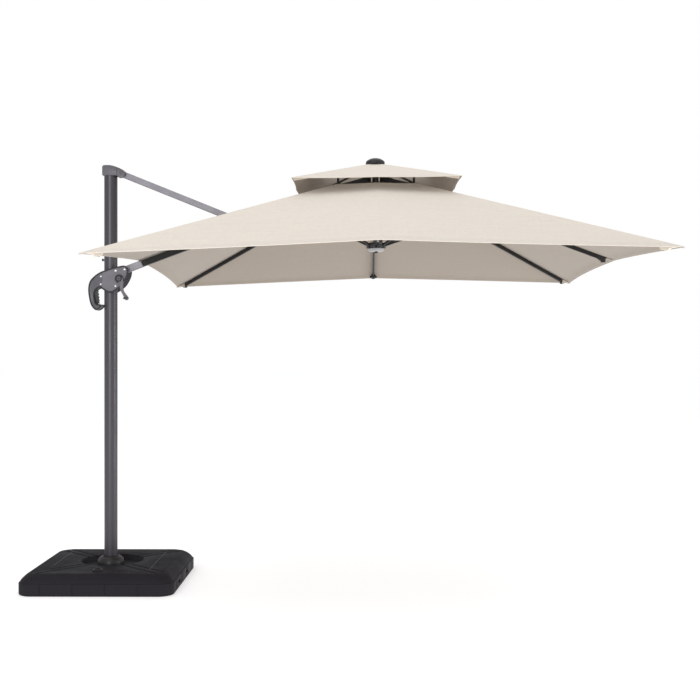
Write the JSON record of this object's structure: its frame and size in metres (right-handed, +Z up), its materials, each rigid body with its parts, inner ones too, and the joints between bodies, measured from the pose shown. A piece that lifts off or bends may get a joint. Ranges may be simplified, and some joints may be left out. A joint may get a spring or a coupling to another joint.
{
  "type": "patio umbrella",
  "caption": "Side-arm patio umbrella: square tank base, upright mast, hinged arms, sliding crank handle and a square two-tier canopy on folding ribs.",
  "frame": {"origin": "on the ground under the mast's axis, at the middle of the base", "axes": "+Z up the mast, +X from the mast out to the canopy, -Y the side with the crank"},
  "size_m": [3.6401, 3.0022, 2.661],
  "materials": {
    "tank_plastic": "near-black blow-moulded plastic, fine texture",
    "anthracite_paint": "anthracite powder coat on an aluminium tube, satin",
    "grey_paint": "mid-grey powder coat on an aluminium tube, lightly speckled",
    "housing_plastic": "dark grey moulded plastic, satin",
    "black_paint": "black powder coat on aluminium, satin",
    "black_plastic": "black moulded plastic, satin",
    "light_plastic": "light grey moulded plastic",
    "bright_steel": "bright steel",
    "canopy_cloth": "cream woven polyester, matt"
  },
  "bodies": {
    "base_and_mast": {"base_tank": "tank_plastic", "cross_bar_long": "black_paint", "cross_bar_left": "black_paint", "cross_bar_right": "black_paint", "mast_socket": "black_paint", "foot_collar": "black_plastic", "mast": "anthracite_paint", "mast_cap": "housing_plastic", "strap_button": "black_plastic", "arm_pin_top": "bright_steel"},
    "filler_cap": {"filler_cap": "black_plastic"},
    "upper_arm": {"upper_arm": "grey_paint"},
    "beam": {"lower_arm": "grey_paint", "spine_beam": "black_paint", "arm_bracket_near": "black_paint", "arm_bracket_far": "black_paint", "arm_pin_mid": "bright_steel", "crown_hub": "black_plastic", "finial": "black_plastic", "canopy_main": "canopy_cloth", "canopy_top": "canopy_cloth"},
    "handle": {"housing_near": "housing_plastic", "housing_far": "housing_plastic", "slide_sleeve": "black_plastic", "arm_pin_low": "bright_steel", "housing_screw_1": "bright_steel", "housing_screw_2": "bright_steel", "housing_screw_3": "bright_steel", "housing_screw_4": "bright_steel", "housing_screw_5": "bright_steel"},
    "trigger": {"trigger": "black_plastic"},
    "crank": {"crank_arm": "housing_plastic", "crank_knob": "black_plastic", "cord_drum": "black_plastic"},
    "runner": {"runner_hub": "black_plastic", "runner_plate": "light_plastic", "runner_knob": "black_plastic"},
    "rib_right": {"rib_right": "black_paint"},
    "strut_right": {"strut_right": "black_paint"},
    "rib_far": {"rib_far": "black_paint"},
    "strut_far": {"strut_far": "black_paint"},
    "rib_near": {"rib_near": "black_paint"},
    "strut_near": {"strut_near": "black_paint"},
    "rib_far_right": {"rib_far_right": "black_paint", "vent_rib_far_right": "black_paint"},
    "strut_far_right": {"strut_far_right": "black_paint"},
    "rib_far_left": {"rib_far_left": "black_paint", "vent_rib_far_left": "black_paint"},
    "strut_far_left": {"strut_far_left": "black_paint"},
    "rib_near_left": {"rib_near_left": "black_paint", "vent_rib_near_left": "black_paint"},
    "strut_near_left": {"strut_near_left": "black_paint"},
    "rib_near_right": {"rib_near_right": "black_paint", "vent_rib_near_right": "black_paint"},
    "strut_near_right": {"strut_near_right": "black_paint"}
  },
  "joints": [
    {"name": "filler_cap_pull", "type": "slide", "parent": "base_and_mast", "child": "filler_cap", "axis": [0, 0, 1], "range_m": [0, 0.04]},
    {"name": "arm_swing", "type": "hinge", "parent": "base_and_mast", "child": "upper_arm", "pos_m": [0.075, 0, 2.563], "axis": [0, 1, 0], "range_deg": [-8, 52]},
    {"name": "beam_fold", "type": "hinge", "parent": "upper_arm", "child": "beam", "pos_m": [0.822, 0, 2.2625], "axis": [0, 1, 0], "range_deg": [-104, 16]},
    {"name": "handle_pivot", "type": "hinge", "parent": "beam", "child": "handle", "pos_m": [0.075, 0, 1.962], "axis": [0, 1, 0], "range_deg": [-8, 52]},
    {"name": "trigger_pull", "type": "hinge", "parent": "handle", "child": "trigger", "pos_m": [-0.088, 0, 1.829], "axis": [0, 1, 0], "range_deg": [0, 5], "stiffness_Nm_per_rad": 2, "springref_deg": -8.59},
    {"name": "crank_turn", "type": "hinge", "parent": "handle", "child": "crank", "pos_m": [0.065, 0, 1.901], "axis": [0, 1, 0], "range_deg": [0, 3600]},
    {"name": "rib_right_fold", "type": "hinge", "parent": "beam", "child": "rib_right", "pos_m": [1.724, 0, 2.49054], "axis": [0, 1, 0], "range_deg": [0, 66]},
    {"name": "strut_right_fold", "type": "hinge", "parent": "rib_right", "child": "strut_right", "pos_m": [2.29626, 0, 2.30712], "axis": [0, 1, 0], "range_deg": [-132, 0]},
    {"name": "rib_far_fold", "type": "hinge", "parent": "beam", "child": "rib_far", "pos_m": [1.669, 0.055, 2.49], "axis": [-1, 0, -0.0098], "range_deg": [0, 66], "deforming": ["canopy_main", "canopy_top"]},
    {"name": "strut_far_fold", "type": "hinge", "parent": "rib_far", "child": "strut_far", "pos_m": [1.67085, 0.62545, 2.30101], "axis": [-1, 0, -0.0098], "range_deg": [-132, 0]},
    {"name": "rib_near_fold", "type": "hinge", "parent": "beam", "child": "rib_near", "pos_m": [1.669, -0.055, 2.49], "axis": [1, 0, 0.0098], "range_deg": [0, 66]},
    {"name": "strut_near_fold", "type": "hinge", "parent": "rib_near", "child": "strut_near", "pos_m": [1.67085, -0.62545, 2.30101], "axis": [1, 0, 0.0098], "range_deg": [-132, 0]},
    {"name": "rib_far_right_fold", "type": "hinge", "parent": "beam", "child": "rib_far_right", "pos_m": [1.70789, 0.03889, 2.49038], "axis": [-0.7071, 0.7071, -0.0069], "range_deg": [0, 70.77]},
    {"name": "strut_far_right_fold", "type": "hinge", "parent": "rib_far_right", "child": "strut_far_right", "pos_m": [2.11095, 0.44055, 2.34935], "axis": [-0.7071, 0.7071, -0.0069], "range_deg": [-133.78, 0]},
    {"name": "rib_far_left_fold", "type": "hinge", "parent": "beam", "child": "rib_far_left", "pos_m": [1.63011, 0.03889, 2.48962], "axis": [-0.7071, -0.7071, -0.0069], "range_deg": [0, 70.77]},
    {"name": "strut_far_left_fold", "type": "hinge", "parent": "rib_far_left", "child": "strut_far_left", "pos_m": [1.22989, 0.44055, 2.34074], "axis": [-0.7071, -0.7071, -0.0069], "range_deg": [-133.78, 0]},
    {"name": "rib_near_left_fold", "type": "hinge", "parent": "beam", "child": "rib_near_left", "pos_m": [1.63011, -0.03889, 2.48962], "axis": [0.7071, -0.7071, 0.0069], "range_deg": [0, 70.77]},
    {"name": "strut_near_left_fold", "type": "hinge", "parent": "rib_near_left", "child": "strut_near_left", "pos_m": [1.22989, -0.44055, 2.34074], "axis": [0.7071, -0.7071, 0.0069], "range_deg": [-133.78, 0]},
    {"name": "rib_near_right_fold", "type": "hinge", "parent": "beam", "child": "rib_near_right", "pos_m": [1.70789, -0.03889, 2.49038], "axis": [0.7071, 0.7071, 0.0069], "range_deg": [0, 70.77]},
    {"name": "strut_near_right_fold", "type": "hinge", "parent": "rib_near_right", "child": "strut_near_right", "pos_m": [2.11095, -0.44055, 2.34935], "axis": [0.7071, 0.7071, 0.0069], "range_deg": [-133.78, 0]},
    {"name": "runner_slide", "type": "hinge", "parent": "strut_far", "child": "runner", "pos_m": [1.67269, 0.055, 2.11202], "axis": [-1, 0, -0.0098], "range_deg": [0, 66]}
  ],
  "couplings": [
    {"joint": "beam_fold", "follows": "arm_swing", "ratio": -2},
    {"joint": "handle_pivot", "follows": "arm_swing", "ratio": 1},
    {"joint": "crank_turn", "follows": "rib_far_fold", "ratio": 54.545},
    {"joint": "rib_right_fold", "follows": "rib_far_fold", "ratio": 1},
    {"joint": "strut_right_fold", "follows": "rib_far_fold", "ratio": -2},
    {"joint": "strut_far_fold", "follows": "rib_far_fold", "ratio": -2},
    {"joint": "rib_near_fold", "follows": "rib_far_fold", "ratio": 1},
    {"joint": "strut_near_fold", "follows": "rib_far_fold", "ratio": -2},
    {"joint": "rib_far_right_fold", "follows": "rib_far_fold", "ratio": 1.0723},
    {"joint": "strut_far_right_fold", "follows": "rib_far_fold", "ratio": -2.0269},
    {"joint": "rib_far_left_fold", "follows": "rib_far_fold", "ratio": 1.0723},
    {"joint": "strut_far_left_fold", "follows": "rib_far_fold", "ratio": -2.0269},
    {"joint": "rib_near_left_fold", "follows": "rib_far_fold", "ratio": 1.0723},
    {"joint": "strut_near_left_fold", "follows": "rib_far_fold", "ratio": -2.0269},
    {"joint": "rib_near_right_fold", "follows": "rib_far_fold", "ratio": 1.0723},
    {"joint": "strut_near_right_fold", "follows": "rib_far_fold", "ratio": -2.0269},
    {"joint": "runner_slide", "follows": "rib_far_fold", "ratio": 1}
  ]
}
